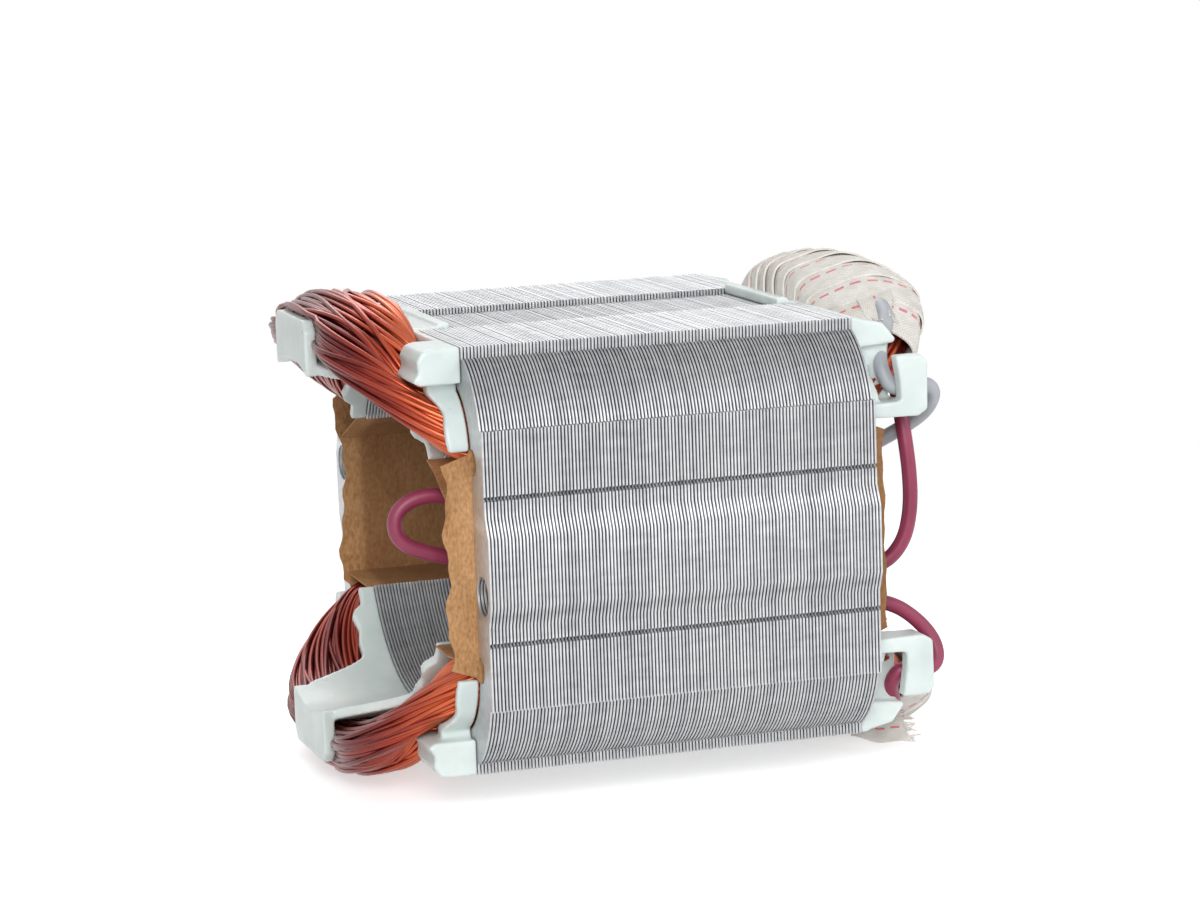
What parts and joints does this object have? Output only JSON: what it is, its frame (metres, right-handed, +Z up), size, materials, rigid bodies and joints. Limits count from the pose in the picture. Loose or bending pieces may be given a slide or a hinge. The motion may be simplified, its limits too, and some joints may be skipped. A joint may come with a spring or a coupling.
{
  "type": "wound motor stator",
  "caption": "Laminated steel stator pack with two wound field coils, moulded end frames, slot paper, laced winding heads and two leads.",
  "frame": {"origin": "on the rotor axis, in the front end face of the sheet pack, at the centre of the circle of the two long fixing screws", "axes": "+X along the rotor axis from the front end face to the rear end where the leads come out, +Z up through the two poles, +Y across towards the far side"},
  "size_m": [0.094, 0.0884, 0.0722],
  "materials": {
    "steel_sheets": "cut edges of thin bare electrical steel sheets",
    "frame_nylon": "milky translucent moulded nylon",
    "slot_paper": "brown insulating presspaper",
    "enamelled_copper": "glossy red-brown enamelled copper wire",
    "lacing_tape": "off-white woven cotton tape with a red tracer thread",
    "burgundy_silicone": "smooth burgundy silicone rubber",
    "grey_silicone": "smooth grey silicone rubber",
    "tinned_copper": "tinned copper strands"
  },
  "bodies": {
    "root": {"lamination_stack": "steel_sheets", "front_top_frame": "frame_nylon", "front_bottom_frame": "frame_nylon", "rear_top_frame": "frame_nylon", "rear_bottom_frame": "frame_nylon", "near_slot_liner": "slot_paper", "far_slot_liner": "slot_paper", "near_top_cover": "slot_paper", "near_bottom_cover": "slot_paper", "far_top_cover": "slot_paper", "far_bottom_cover": "slot_paper", "top_winding": "enamelled_copper", "bottom_winding": "enamelled_copper", "rear_top_tape": "lacing_tape", "rear_bottom_tape": "lacing_tape", "red_lead": "burgundy_silicone", "grey_lead": "grey_silicone", "grey_lead_end": "tinned_copper"}
  },
  "joints": []
}
